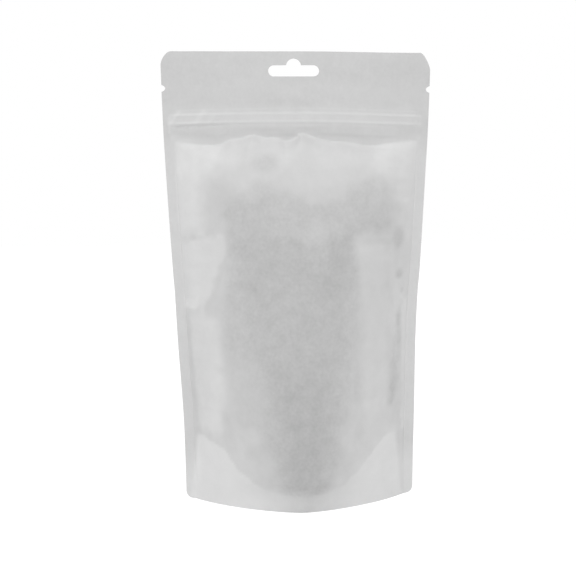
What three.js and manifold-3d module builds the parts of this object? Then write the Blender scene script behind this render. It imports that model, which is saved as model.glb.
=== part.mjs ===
// A filled kraft paper stand-up pouch, closed and sealed.
// Millimetres, +Z up. The origin is the middle of the base, on the floor. The front faces -Y.
import * as THREE from 'three';
import { mergeVertices } from 'three/addons/utils/BufferGeometryUtils.js';
import Module from 'manifold-3d';

// The flat pouch, as it is made
const pouchWidth = 160;
const pouchHeight = 270;
const plyThickness = 0.15;
const sideSeal = 6;
const topCornerRadius = 8.5;
const bottomCornerRadius = 4;

// The bottom gusset and the U-shaped seal that closes the skirt round it
const gussetRise = 40.5;
const bottomSeal = 9.2;
const sealCurve = 1.75;
const sealFlat = 8;
const gussetSag = 11.5;
const gussetSagReach = 46;
const skirtPinch = 1.4;
const skirtPinchReach = 42;
const skirtPinchHeight = 7;

// The filled shape at four heights above the floor: half of its front-to-back depth, and how far
// the swelling draws each side seam in from where it lies on the flat pouch
const footHalfDepth = 31.4;
const footDrawIn = 9.5;
const bellyHeight = 50;
const bellyHalfDepth = 30.8;
const bellyDrawIn = 9;
const waistHeight = 120;
const waistHalfDepth = 26.4;
const waistDrawIn = 6.7;
const shoulderDrop = 20;
const shoulderHalfDepth = 16.6;
const shoulderDrawIn = 2.4;
const footTuck = 2.6;

// How far both panels bow forward between the side seams, and how far that lifts the zip
const chestHeight = 150;
const chestBow = 2.6;
const shoulderBow = 5.6;
const shoulderBowDrop = 6;
const zipBow = 6.2;
const topBow = 0.8;
const shoulderLift = 0.4;
const zipLift = 0.9;
const topDip = 0.3;

// How a section's front swells: 2 is an arc, less is a nose with straighter flanks, more is blunt
const footRoundness = 1.5;
const bodyRoundness = 2;
const shoulderRoundness = 3.4;

// The press-to-close zip, measured down from the top edge
const zipDrop = 39.4;
const zipRidgeSpacing = 5;
const zipRidgeHeight = 0.35;
const zipRidgeHalfWidth = 1.7;
const zipValleyShare = 0.55;
const zipTapeAbove = 6;
const zipTapeBelow = 12.1;
const zipTapeThickness = 0.2;
const zipDrawIn = 0.9;

// The euro hang slot and the tear notches
const slotLength = 30;
const slotBar = 6.6;
const slotDrop = 11.8;
const slotOffset = -1.8;
const slotDomeRadius = 4.4;
const slotDomeRise = 3.9;
const notchDrop = 21.4;
const notchDepth = 2.2;
const notchHalfHeight = 2;

// How finely the film is divided
const columnCount = 40;
const skirtRows = 4;
const bodyRows = 20;
const gussetRows = 10;
const slack = 5;

const halfWidth = pouchWidth / 2;
const halfFree = halfWidth - sideSeal;
const sealedPly = 2 * plyThickness;
const zipMiddle = pouchHeight - zipDrop;
const tapeFoot = zipMiddle - zipTapeBelow;
const shoulderHeight = tapeFoot - shoulderDrop;

const clamp01 = (t) => Math.min(1, Math.max(0, t));
const ease = (t) => clamp01(t) ** 2 * (3 - 2 * clamp01(t));

// The U-shaped seal: low in the middle, up to the gusset's fold just inside the side seals
function sealLine(u) {
  const reach = clamp01(Math.abs(u) / (halfFree - sealFlat));
  return bottomSeal + (gussetRise - bottomSeal) * reach ** sealCurve;
}

// One smooth curve through a value at each named height
function curveThrough(stations) {
  const curve = new THREE.SplineCurve(stations.map(([height, value]) => new THREE.Vector2(height, value)));
  const points = curve.getPoints(200);
  return (height) => {
    const next = points.findIndex((p) => p.x > height);
    if (next < 1) return points.at(-1).y;
    const a = points[next - 1];
    const b = points[next];
    return THREE.MathUtils.lerp(a.y, b.y, (height - a.x) / (b.x - a.x));
  };
}

// The tape's loose lower edge: how far above or below its level the swelling begins, at shares of
// the way from the middle to a side seal. The wave fades out down the panel and short of the zip.
const waveReach = 24;
const waveFade = 6;
const waveClear = 4;
const waveStations = [
  [-1, 0], [-0.81, -1.8], [-0.54, -2], [-0.35, 1.8], [-0.16, 0],
  [0.05, 3.4], [0.27, -0.6], [0.51, -2.6], [0.78, -1.8], [1, 0],
];
const tapeWave = curveThrough(waveStations.map(([share, rise]) => [share * halfFree, rise]));

const halfDepth = curveThrough([
  [-bellyHeight, footHalfDepth],
  [0, footHalfDepth],
  [bellyHeight, bellyHalfDepth],
  [waistHeight, waistHalfDepth],
  [shoulderHeight, shoulderHalfDepth],
  [tapeFoot, 0],
]);
const seamDrawIn = curveThrough([
  [-bellyHeight, footDrawIn],
  [0, footDrawIn],
  [bellyHeight, bellyDrawIn],
  [waistHeight, waistDrawIn],
  [shoulderHeight, shoulderDrawIn],
  [zipMiddle, zipDrawIn],
  [pouchHeight, 0],
]);
const bowForward = curveThrough([
  [-bellyHeight, 0],
  [gussetRise, 0],
  [chestHeight, chestBow],
  [tapeFoot - shoulderBowDrop, shoulderBow],
  [zipMiddle, zipBow],
  [pouchHeight, topBow],
]);
const lift = curveThrough([
  [0, 0],
  [waistHeight, 0],
  [shoulderHeight, shoulderLift],
  [zipMiddle - zipRidgeSpacing, zipLift],
  [pouchHeight, -topDip],
]);

// A panel of fixed width whose seams are drawn in bends into an arc of this half angle
function bendAngle(drawIn) {
  let low = 0.02;
  let high = 2.5;
  for (let i = 0; i < 40; i += 1) {
    const middle = (low + high) / 2;
    if (halfFree * (middle - Math.sin(middle)) > drawIn * middle) high = middle;
    else low = middle;
  }
  return (low + high) / 2;
}

// Soft hollows and swellings that the filling leaves in the panels: where they are across and
// up the panel, how far they reach each way, how they lean, and how far they sink
const frontCreases = [
  { name: 'left flank hollow', at: [-56, 158], reach: [20, 52], lean: -0.3, sink: 4.2 },
  { name: 'right flank hollow', at: [56, 112], reach: [23, 56], lean: 0.12, sink: 4.5 },
  { name: 'right shoulder swelling', at: [52, 181], reach: [24, 26], lean: 0, sink: -3 },
  { name: 'left shoulder swelling', at: [-30, 186], reach: [26, 28], lean: 0, sink: -2 },
  { name: 'belly swelling', at: [3, 62], reach: [48, 70], lean: 0, sink: -1.6 },
];
const backCreases = [
  { name: 'back left flank hollow', at: [-57, 126], reach: [21, 58], lean: -0.15, sink: 4.4 },
  { name: 'back right flank hollow', at: [58, 150], reach: [20, 50], lean: 0.25, sink: 3.8 },
  { name: 'back shoulder swelling', at: [8, 184], reach: [40, 28], lean: 0, sink: -2.4 },
  { name: 'back belly swelling', at: [-4, 70], reach: [50, 66], lean: 0, sink: -1.2 },
];

function creaseSink(u, v, crease) {
  const across = u - crease.at[0];
  const up = v - crease.at[1];
  const turnedAcross = across * Math.cos(crease.lean) + up * Math.sin(crease.lean);
  const turnedUp = up * Math.cos(crease.lean) - across * Math.sin(crease.lean);
  const distance = (turnedAcross / crease.reach[0]) ** 2 + (turnedUp / crease.reach[1]) ** 2;
  return crease.sink * clamp01(1 - distance) ** 2;
}

function wavedHeight(u, v, side) {
  const below = ease((v - tapeFoot + waveReach) / waveReach);
  const above = ease((zipMiddle - waveClear - v) / waveFade);
  return v - tapeWave(-side * u) * below * above;
}

// Puckers run down from the tape: where across they begin, how they lean, their length, half
// width and height
const puckers = [
  { at: -26, lean: -0.25, length: 26, halfWidth: 6, height: 1.9 },
  { at: 3.5, lean: -0.45, length: 30, halfWidth: 6.5, height: 2.1 },
  { at: -52, lean: 0.3, length: 20, halfWidth: 8, height: 0.9 },
  { at: 34, lean: 0.4, length: 24, halfWidth: 8, height: 1 },
  { at: 58, lean: -0.2, length: 20, halfWidth: 7, height: 0.8 },
];

function puckerRise(u, v, pucker) {
  const down = tapeFoot + 3 - v;
  const halfWidth = pucker.halfWidth * (0.35 + 0.65 * clamp01(down / pucker.length));
  const beside = (u - pucker.at - pucker.lean * down) / halfWidth;
  return pucker.height * ease(down / 6) * ease(1 - down / pucker.length) * Math.exp(-(beside ** 2));
}

// The skirt is pinched in a little along the middle of its seal, and flares to the floor
function pinchSink(u, v) {
  const across = clamp01(1 - (u / skirtPinchReach) ** 2);
  const up = clamp01(1 - ((v - bottomSeal) / skirtPinchHeight) ** 2);
  return skirtPinch * across * up;
}

// What the zip adds to a panel's outside: a flat tape and two ridges, crushed in the side seals
function zipRelief(u, v, shapeHeight) {
  const level = v - zipMiddle;
  const onTape = shapeHeight > tapeFoot && level < zipTapeAbove;
  if (!onTape || Math.abs(u) >= halfFree) return 0;
  const toRidge = Math.abs(Math.abs(level) - zipRidgeSpacing / 2);
  const valley = Math.abs(level) < zipRidgeSpacing / 2 ? zipValleyShare : 0;
  return zipTapeThickness + zipRidgeHeight * Math.max(valley, 1 - toRidge / zipRidgeHalfWidth);
}

// How far both panels lie forward of the middle plane: they bow between the seams, and near the
// floor the side seams are tucked forward while the outer edges of the seals stay back
function forward(share, fin, v) {
  const spread = (share * halfFree + fin) / halfWidth;
  const tuck = footTuck * share ** 2 * (1 - fin / sideSeal) * (1 - ease(v / gussetRise));
  return bowForward(v) * (1 - spread ** 2) + tuck;
}

function roundness(height) {
  const body = THREE.MathUtils.lerp(footRoundness, bodyRoundness, ease(height / bellyHeight));
  const blunt = ease((height - waistHeight) / (tapeFoot - waistHeight));
  return body + (shoulderRoundness - bodyRoundness) * blunt;
}

// Where a spot of a panel stands: u across the panel, v up from its bottom edge
function panelPoint(u, v, side, creases) {
  const shapeHeight = wavedHeight(u, v, side);
  const drawIn = seamDrawIn(shapeHeight);
  const angle = bendAngle(drawIn);
  const share = Math.min(1, Math.abs(u) / halfFree);
  const fin = Math.max(0, Math.abs(u) - halfFree);
  const x = Math.sign(u) * ((halfFree - drawIn) * Math.sin(angle * share) / Math.sin(angle) + fin);
  const arch = shapeHeight < tapeFoot ? halfDepth(shapeHeight) * (1 - share ** roundness(shapeHeight)) : 0;
  const sinks = creases.reduce((sum, crease) => sum + creaseSink(u, shapeHeight, crease), pinchSink(u, v));
  const rises = puckers.reduce((sum, pucker) => sum + puckerRise(-side * u, shapeHeight, pucker), 0);
  const swell = Math.max(0, arch - (sinks - rises) * clamp01(arch / 8));
  const y = side * (plyThickness + swell + zipRelief(u, v, shapeHeight)) - forward(share, fin, shapeHeight);
  const spread = (share * halfFree + fin) / halfWidth;
  return new THREE.Vector3(x, y, v + lift(v) * (1 - spread ** 2));
}

// Stations across a panel, with one at each side seal's inner edge and one just inside it
const seamEdge = halfFree - 2 * sealedPly;
const innerColumns = Array.from(
  { length: columnCount + 1 },
  (_, i) => (i / columnCount * 2 - 1) * (halfFree - pouchWidth / columnCount / 2),
);
const freeColumns = [-seamEdge, ...innerColumns, seamEdge];
const allColumns = [-halfWidth, -halfFree, ...freeColumns, halfFree, halfWidth];

// Stations up a panel: the skirt, the body that swells, then the zip and the header
function columnHeights(u, side) {
  const seal = sealLine(u);
  const tapeEdge = tapeFoot + tapeWave(-side * u);
  const heights = [];
  for (let i = 0; i < skirtRows; i += 1) heights.push(seal * i / skirtRows);
  for (let i = 0; i < bodyRows; i += 1) {
    const share = Math.sin(i / bodyRows * Math.PI / 2);
    heights.push(seal + (tapeEdge - seal) * share);
  }
  heights.push(tapeEdge, tapeEdge + 2 * plyThickness);
  for (const ridge of [-zipRidgeSpacing / 2, zipRidgeSpacing / 2]) {
    for (const step of [-zipRidgeHalfWidth, 0, zipRidgeHalfWidth]) heights.push(zipMiddle + ridge + step);
  }
  heights.push(zipMiddle + zipTapeAbove - 2 * plyThickness, zipMiddle + zipTapeAbove);
  heights.push((zipMiddle + zipTapeAbove + pouchHeight) / 2, pouchHeight);
  return heights;
}

// A closed body from rings of points: each ring is joined to the next, and both ends are capped.
// Each ring runs up one wall and down the other, so a ladder of triangles caps it.
function closedBody(rings) {
  const count = rings[0].length;
  const last = (rings.length - 1) * count;
  const positions = rings.flat().flatMap((p) => [p.x, p.y, p.z]);
  const index = [];
  for (let start = 0; start < last; start += count) {
    for (let i = 0; i < count; i += 1) {
      const a = start + i;
      const b = start + (i + 1) % count;
      index.push(a, a + count, b, b, a + count, b + count);
    }
  }
  const addCap = (a, b, c) => index.push(a, b, c, last + a, last + c, last + b);
  for (let low = 0, high = count - 1; high - low > 1; low += 1, high -= 1) {
    addCap(low, low + 1, high);
    if (high - low > 2) addCap(low + 1, high - 1, high);
  }
  const geometry = new THREE.BufferGeometry();
  geometry.setAttribute('position', new THREE.Float32BufferAttribute(positions, 3));
  geometry.setIndex(index);
  return geometry;
}

// The outside of the pouch, still solid down to the floor
function envelope() {
  const rings = allColumns.map((u) => {
    const front = columnHeights(u, -1).map((v) => panelPoint(u, v, -1, frontCreases));
    const back = columnHeights(u, 1).map((v) => panelPoint(u, v, 1, backCreases));
    return [...front, ...back.reverse()];
  });
  return closedBody(rings);
}

// The room under the gusset, between the two halves of the skirt
function underGusset() {
  const rings = freeColumns.map((u) => {
    const seal = sealLine(u);
    const sag = gussetSag * clamp01(1 - (u / gussetSagReach) ** 2);
    const wall = [];
    for (let i = 0; i <= skirtRows; i += 1) wall.push(seal * i / skirtRows);
    const inner = (v, side, creases) => {
      const p = panelPoint(u, v, side, creases);
      p.y -= side * sealedPly;
      return p;
    };
    const front = wall.map((v) => inner(v, -1, frontCreases));
    const back = wall.map((v) => inner(v, 1, backCreases));
    const from = front.at(-1);
    const to = back.at(-1);
    const web = [];
    for (let i = 1; i < gussetRows; i += 1) {
      const across = i / gussetRows;
      const p = new THREE.Vector3().lerpVectors(from, to, across);
      p.z -= sag * (1 - (2 * across - 1) ** 2);
      web.push(p);
    }
    const frontFoot = front[0].clone().setZ(-slack);
    const backFoot = back[0].clone().setZ(-slack);
    return [frontFoot, ...front, ...web, ...back.reverse(), backFoot];
  });
  return closedBody(rings);
}

// A flat outline in the header's plane, run through the pouch from front to back
function throughCut(shape) {
  const depth = 2 * (zipBow + slack);
  const geometry = new THREE.ExtrudeGeometry(shape, { depth, bevelEnabled: false, curveSegments: 8 });
  geometry.rotateX(Math.PI / 2);
  geometry.translate(0, depth / 2, 0);
  return geometry;
}

function hangSlot() {
  const end = slotBar / 2;
  const straight = slotLength / 2 - end;
  const domeCentre = end + slotDomeRise - slotDomeRadius;
  const domeAngle = Math.asin(clamp01((end - domeCentre) / slotDomeRadius));
  const shape = new THREE.Shape();
  shape.moveTo(-straight, -end);
  shape.lineTo(straight, -end);
  shape.absarc(straight, 0, end, -Math.PI / 2, Math.PI / 2, false);
  shape.absarc(0, domeCentre, slotDomeRadius, domeAngle, Math.PI - domeAngle, false);
  shape.absarc(-straight, 0, end, Math.PI / 2, 3 * Math.PI / 2, false);
  return throughCut(shape).translate(slotOffset, 0, pouchHeight - slotDrop);
}

function tearNotch(side) {
  const shape = new THREE.Shape();
  const level = pouchHeight - notchDrop;
  shape.moveTo(side * (halfWidth + slack), level - notchHalfHeight);
  for (let i = 0; i <= 8; i += 1) {
    const turn = (i / 8 - 0.5) * Math.PI;
    const x = halfWidth - notchDepth * Math.cos(turn);
    shape.lineTo(side * x, level + notchHalfHeight * Math.sin(turn));
  }
  shape.lineTo(side * (halfWidth + slack), level + notchHalfHeight);
  return throughCut(shape);
}

// What is trimmed off a square corner to leave it round
function cornerTrim(side, cornerX, cornerZ, up, radius) {
  const shape = new THREE.Shape();
  const centreX = cornerX - radius;
  const centreZ = cornerZ - up * radius;
  shape.moveTo(side * centreX, cornerZ);
  for (let i = 1; i <= 6; i += 1) {
    const turn = i / 6 * Math.PI / 2;
    shape.lineTo(side * (centreX + radius * Math.sin(turn)), centreZ + up * radius * Math.cos(turn));
  }
  shape.lineTo(side * (cornerX + slack), centreZ);
  shape.lineTo(side * (cornerX + slack), cornerZ + up * slack);
  shape.lineTo(side * centreX, cornerZ + up * slack);
  return throughCut(shape);
}

const wasm = await Module();
wasm.setup();

function solidOf(geometry) {
  geometry.deleteAttribute('normal');
  geometry.deleteAttribute('uv');
  const merged = mergeVertices(geometry, 1e-5);
  const vertProperties = new Float32Array(merged.attributes.position.array);
  const triVerts = new Uint32Array(merged.index.array);
  return new wasm.Manifold(new wasm.Mesh({ numProp: 3, vertProperties, triVerts }));
}

function geometryOf(solid) {
  const mesh = solid.getMesh();
  const geometry = new THREE.BufferGeometry();
  geometry.setAttribute('position', new THREE.BufferAttribute(mesh.vertProperties, 3));
  geometry.setIndex(new THREE.BufferAttribute(mesh.triVerts, 1));
  geometry.computeVertexNormals();
  return geometry;
}

function pouchGeometry() {
  const footX = panelPoint(halfWidth, 0, 1, backCreases).x;
  const footRadius = Math.min(bottomCornerRadius, sideSeal);
  const cuts = [underGusset(), hangSlot()];
  for (const side of [-1, 1]) {
    cuts.push(tearNotch(side));
    cuts.push(cornerTrim(side, halfWidth, pouchHeight, 1, topCornerRadius));
    cuts.push(cornerTrim(side, footX, 0, -1, footRadius));
  }
  let body = solidOf(envelope());
  for (const cut of cuts) body = body.subtract(solidOf(cut));
  return geometryOf(body);
}

const kraftPaper = new THREE.MeshStandardMaterial({ color: 0xcdcdcc, roughness: 0.8, metalness: 0 });

const group = new THREE.Group();
const pouch = new THREE.Mesh(pouchGeometry(), kraftPaper);
pouch.name = 'pouch';
group.add(pouch);

export default group;
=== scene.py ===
# %% [markdown]
# # A kraft paper stand-up pouch
#
# This lesson dresses a filled paper pouch. The pouch is one closed pack: two paper panels, a
# gusset folded in between them at the bottom, a zip, and a dry filling whose shade shows through
# the paper. We load the fixed frame first, so that every later step can be measured against it.

# %% Load the frame
import math

import bpy
import numpy as np
from mathutils import Matrix, Vector, noise


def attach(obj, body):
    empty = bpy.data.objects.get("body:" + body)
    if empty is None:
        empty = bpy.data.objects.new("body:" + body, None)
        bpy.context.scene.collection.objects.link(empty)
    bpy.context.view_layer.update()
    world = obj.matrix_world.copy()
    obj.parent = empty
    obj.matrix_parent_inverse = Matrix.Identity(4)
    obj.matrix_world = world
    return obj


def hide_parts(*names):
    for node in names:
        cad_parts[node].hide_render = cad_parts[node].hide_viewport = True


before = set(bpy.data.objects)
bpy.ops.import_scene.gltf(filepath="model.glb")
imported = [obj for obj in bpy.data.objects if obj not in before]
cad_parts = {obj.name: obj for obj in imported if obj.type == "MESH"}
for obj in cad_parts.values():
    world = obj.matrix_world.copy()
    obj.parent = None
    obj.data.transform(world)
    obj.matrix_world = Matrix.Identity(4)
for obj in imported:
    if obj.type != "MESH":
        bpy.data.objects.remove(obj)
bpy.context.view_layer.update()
print("frame nodes:", sorted(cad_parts))

# %% [markdown]
# ## Camera
#
# The photo is a straight product shot: the camera stands half a metre off, below the pouch's
# top edge, looks slightly down and sees the pouch turned by under three degrees. The pouch stays
# square in its frame, so the turn is given to the camera's place instead.

# %% Place the camera
MM = 0.001
PHOTO_SIZE = 576
CAMERA_DISTANCE = 500.0
CAMERA_HEIGHT = 182.0
CAMERA_SIDE = -6.2
FOCAL_PIXELS = 827.0
POUCH_TURN = math.radians(2.54)
CAMERA_PITCH = math.radians(6.0)
CAMERA_ROLL = math.radians(-0.53)
SENSOR_WIDTH = 36.0


def place_camera():
    """A camera whose picture has the photo's perspective."""
    data = bpy.data.cameras.new("camera")
    data.sensor_width = SENSOR_WIDTH
    data.lens = FOCAL_PIXELS / PHOTO_SIZE * SENSOR_WIDTH
    camera = bpy.data.objects.new("camera", data)
    bpy.context.scene.collection.objects.link(camera)
    turn = Matrix.Rotation(-POUCH_TURN, 4, "Z")
    stand = Matrix.Translation(Vector((CAMERA_SIDE, -CAMERA_DISTANCE, CAMERA_HEIGHT)) * MM)
    tilt = Matrix.Rotation(math.pi / 2 - CAMERA_PITCH, 4, "X")
    roll = Matrix.Rotation(CAMERA_ROLL, 4, "Z")
    camera.matrix_world = turn @ stand @ tilt @ roll
    bpy.context.scene.camera = camera
    return camera


camera = place_camera()
print("lens in millimetres:", round(camera.data.lens, 2))

# %% [markdown]
# ## Light, floor and background
#
# Paper shows its shape through very soft light. A broad panel above and in front of the pouch
# lights what leans back, weak ones fill from both sides, one behind lights the back panel, and
# the world gives the rest evenly. The background is white only for camera, mirror and glass rays,
# so it adds no light.

# %% Light the set
def area_light(name, place, target, size, power):
    """A square soft light at a place, aimed at a target, all in metres."""
    data = bpy.data.lights.new(name, "AREA")
    data.shape = "SQUARE"
    data.size = size
    data.energy = power
    light = bpy.data.objects.new(name, data)
    bpy.context.scene.collection.objects.link(light)
    aim = Vector(target) - Vector(place)
    light.location = place
    light.rotation_euler = aim.to_track_quat("-Z", "Y").to_euler()
    return light


WORLD_LEVEL = 0.575
POUCH_MIDDLE = (0.0, 0.0, 0.14)
PANEL_LIGHTS = [
    # name, place in metres, size in metres, power
    ("top_panel", (-0.12, -1.3, 2.1), 1.4, 27.0),
    ("left_panel", (-1.1, -0.7, 0.35), 0.7, 1.0),
    ("right_panel", (1.1, -0.7, 0.35), 0.7, 0.7),
    ("back_panel", (0.3, 1.4, 1.5), 1.0, 9.0),
]
for light_name, light_place, light_size, light_power in PANEL_LIGHTS:
    area_light(light_name, light_place, POUCH_MIDDLE, light_size, light_power)

world = bpy.data.worlds.new("studio")
world.use_nodes = True
bpy.context.scene.world = world
world_nodes = world.node_tree.nodes
world_links = world.node_tree.links
world_nodes.clear()
world_out = world_nodes.new("ShaderNodeOutputWorld")
world_light = world_nodes.new("ShaderNodeBackground")
world_light.inputs["Strength"].default_value = WORLD_LEVEL
world_white = world_nodes.new("ShaderNodeBackground")
world_white.inputs["Color"].default_value = (1, 1, 1, 1)
world_light.inputs["Color"].default_value = (1, 1, 1, 1)
world_mix = world_nodes.new("ShaderNodeMixShader")


def seen_directly(nodes, links):
    """A value that is 1 for camera, glossy and transmission rays."""
    path = nodes.new("ShaderNodeLightPath")
    total = path.outputs["Is Camera Ray"]
    for kind in ("Is Glossy Ray", "Is Transmission Ray"):
        add = nodes.new("ShaderNodeMath")
        add.operation = "MAXIMUM"
        links.new(total, add.inputs[0])
        links.new(path.outputs[kind], add.inputs[1])
        total = add.outputs[0]
    return total


world_links.new(seen_directly(world_nodes, world_links), world_mix.inputs[0])
world_links.new(world_light.outputs[0], world_mix.inputs[1])
world_links.new(world_white.outputs[0], world_mix.inputs[2])
world_links.new(world_mix.outputs[0], world_out.inputs["Surface"])
bpy.context.scene.view_settings.view_transform = "Standard"

# %% Lay the floor
FLOOR_SIZE = 6.0
FLOOR_WHITE = 0.85
FLOOR_ROUGHNESS = 0.9
FLOOR_GLOW_SHARE = 0.72
FLOOR_GLOW = 1.25


def floor_material():
    """Pale matt floor that reads as white to the camera and still takes a shadow."""
    material = bpy.data.materials.new("studio_floor")
    material.use_nodes = True
    nodes, links = material.node_tree.nodes, material.node_tree.links
    matt = nodes["Principled BSDF"]
    matt.inputs["Base Color"].default_value = (FLOOR_WHITE, FLOOR_WHITE, FLOOR_WHITE, 1)
    matt.inputs["Roughness"].default_value = FLOOR_ROUGHNESS
    matt.inputs["Specular IOR Level"].default_value = 0.0
    glow = nodes.new("ShaderNodeEmission")
    glow.inputs["Strength"].default_value = FLOOR_GLOW
    share = nodes.new("ShaderNodeMath")
    share.operation = "MULTIPLY"
    share.inputs[1].default_value = FLOOR_GLOW_SHARE
    links.new(seen_directly(nodes, links), share.inputs[0])
    mix = nodes.new("ShaderNodeMixShader")
    links.new(share.outputs[0], mix.inputs[0])
    links.new(matt.outputs[0], mix.inputs[1])
    links.new(glow.outputs[0], mix.inputs[2])
    links.new(mix.outputs[0], nodes["Material Output"].inputs["Surface"])
    return material


bpy.ops.object.select_all(action="DESELECT")
bpy.ops.mesh.primitive_plane_add(size=FLOOR_SIZE, location=(0, 0, 0))
floor = bpy.context.object
floor.name = "floor"
floor.data.materials.append(floor_material())
print("floor:", floor.name, FLOOR_SIZE, "m wide")

# %% [markdown]
# ## The flat pouch
#
# Every measure below is in millimetres on the flat, empty pouch. A spot on a panel is named by
# `u`, across from the middle, and `v`, up from the bottom edge.

# %% Sizes of the flat pouch
WIDTH = 160.0
HEIGHT = 270.0
PLY = 0.15
SIDE_SEAL = 6.0
GUSSET_RISE = 40.5
BOTTOM_SEAL = 9.2
HALF = WIDTH / 2
HALF_FREE = HALF - SIDE_SEAL
ZIP_DROP = 40.0
ZIP_MIDDLE = HEIGHT - ZIP_DROP
TAPE_BELOW = 11.5
TAPE_ABOVE = 6.0
TAPE_FOOT = ZIP_MIDDLE - TAPE_BELOW
TAPE_TOP = ZIP_MIDDLE + TAPE_ABOVE
print("free panel width:", 2 * HALF_FREE, "zip tape from", TAPE_FOOT, "to", TAPE_TOP)

# %% [markdown]
# ## How the filling swells it
#
# Paper bends but hardly stretches. Where the filling pushes the panels apart, the side seams are
# drawn in, and the panel bends into an arc between them. Smooth curves over the height say how
# deep the pouch is, how far its seams are drawn in, and how it leans, bows and lifts. The rest
# follows from the arc.

# %% A smooth curve through stations
CURVE_STEPS = 400


def curve_through(stations):
    """A smooth curve through (height, value) pairs, as a function that takes arrays."""
    points = np.array(stations, float)
    last = len(points) - 1
    heights, values = [], []
    for t in np.linspace(0, last, CURVE_STEPS):
        i = min(int(t), last - 1)
        w = t - i
        p0, p1 = points[max(i - 1, 0)], points[i]
        p2, p3 = points[i + 1], points[min(i + 2, last)]
        a, b = (p2 - p0) / 2, (p3 - p1) / 2
        p = (2 * p1 - 2 * p2 + a + b) * w**3 + (3 * p2 - 3 * p1 - 2 * a - b) * w**2 + a * w + p1
        heights.append(p[0])
        values.append(p[1])
    return lambda v: np.interp(v, heights, values)


test_curve = curve_through([(0, 0), (1, 2), (2, 0)])
print("a test curve at its middle station:", round(float(test_curve(1.0)), 2))

# %% Curves of the filled shape
BELLY = 50.0
WAIST = 120.0
SHOULDER = TAPE_FOOT - 20.0
half_depth = curve_through(
    [(-BELLY, 31.4), (0, 31.4), (BELLY, 30.8), (WAIST, 26.4), (SHOULDER, 16.6), (TAPE_FOOT, 0)]
)
draw_in = curve_through(
    [
        (-BELLY, 9.5), (0, 9.5), (BELLY, 8.8), (WAIST, 6.4), (WAIST + 24, 4.9),
        (SHOULDER, 2.2), (ZIP_MIDDLE, 0.9), (HEIGHT, 0),
    ]
)
side_lean = curve_through(
    [
        (-BELLY, 0.1), (20, 0.2), (50, 0.2), (72, -0.2), (95, -0.7), (120, -0.75), (142, -0.55),
        (SHOULDER, -0.4), (HEIGHT, 0),
    ]
)
FOOT_TUCK = 2.6
bow_forward = curve_through(
    [
        (-BELLY, 0), (GUSSET_RISE, 0), (WAIST + 30, 2.6), (TAPE_FOOT - 6, 5.6),
        (ZIP_MIDDLE, 6.2), (HEIGHT, 0.8),
    ]
)
HEADER_DROOP = 1.15
zip_lift = curve_through(
    [(0, 0), (WAIST, 0), (SHOULDER, 0.4), (ZIP_MIDDLE - 4, 0.9), (HEIGHT, -0.3)]
)
print("depth at belly and shoulder:", 2 * half_depth(BELLY), 2 * half_depth(SHOULDER))

# %% Steps, humps and bends
def ease(t):
    """Smooth step from 0 to 1."""
    t = np.clip(t, 0, 1)
    return t * t * (3 - 2 * t)


def soft_side(inside, softness):
    """A blurred edge: 0 well outside it, a half on it and 1 well inside."""
    return ease(inside / softness + 0.5)


def hump(away, reach):
    """1 in the middle, and dying out beyond its reach."""
    return np.exp(-((away / reach) ** 2))


def mound(away, reach):
    """1 in the middle, and down to 0 at its reach."""
    return np.clip(1 - (away / reach) ** 2, 0, 1)


def droop(u, v):
    """The header's right half hangs a little, more towards its end."""
    return HEADER_DROOP * ease(u / HALF) * ease((v - SHOULDER) / (TAPE_FOOT - SHOULDER))


# Half arcs from nearly flat to very deep, and the share of its length that each one spans.
angle_table = np.linspace(0.02, 2.5, 600)
chord_table = np.sin(angle_table) / angle_table


def bend_angle(drawn):
    """Half the arc that a panel bends into when each seam is drawn in by this much."""
    return np.interp(-(1 - drawn / HALF_FREE), -chord_table, angle_table)


print("bend at the belly in degrees:", round(math.degrees(bend_angle(draw_in(BELLY))), 1))

# %% The U-shaped bottom seal
# Its height across the panel, from the gusset's fold down to the low middle and up again.
seal_line = curve_through(
    [
        (-HALF, GUSSET_RISE), (-65, GUSSET_RISE), (-51, 35.8), (-45.5, 31), (-40.5, 25),
        (-33, 19.3), (-21, 13), (0, BOTTOM_SEAL), (20, 12.2), (29, 18.2), (37, 24.5),
        (43.5, 31.5), (50, 37), (60, GUSSET_RISE + 1), (HALF, GUSSET_RISE + 1),
    ]
)
print("seal height at the middle and the sides:", seal_line(0), seal_line(-HALF), seal_line(HALF))

# %% [markdown]
# ## Hollows, facets and puckers
#
# A filled pouch is never smooth. The panel hangs in soft hollows beside the filling, folds into
# flat facets with one sharp side, and is drawn into short puckers under the zip tape. Each kind is
# a small function of place, and each one on the pouch is a line with its place and size.

# %% Soft hollows
FRONT_HOLLOWS = [
    # across, up, reach across, reach up, lean, sink
    (-56, 158, 20, 52, -0.3, 4.2),
    (56, 112, 23, 56, 0.12, 4.5),
    (52, 181, 24, 26, 0.0, -3.0),
    (-30, 186, 26, 28, 0.0, -2.0),
    (3, 62, 48, 70, 0.0, -1.6),
]
BACK_HOLLOWS = [
    (-57, 126, 21, 58, -0.15, 4.4),
    (58, 150, 20, 50, 0.25, 3.8),
    (8, 184, 40, 28, 0.0, -2.4),
    (-4, 70, 50, 66, 0.0, -1.2),
]


def hollow_sink(u, v, hollow):
    """How far a soft hollow lowers the panel; a swelling lowers it by less than nothing."""
    at_u, at_v, reach_u, reach_v, lean, sink = hollow
    across, up = u - at_u, v - at_v
    along = across * math.cos(lean) + up * math.sin(lean)
    beside = up * math.cos(lean) - across * math.sin(lean)
    distance = (along / reach_u) ** 2 + (beside / reach_v) ** 2
    return sink * np.clip(1 - distance, 0, 1) ** 2


SKIRT_PINCH = 0.8
SKIRT_PINCH_ACROSS = 42.0
SKIRT_PINCH_UP = 7.0


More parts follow.
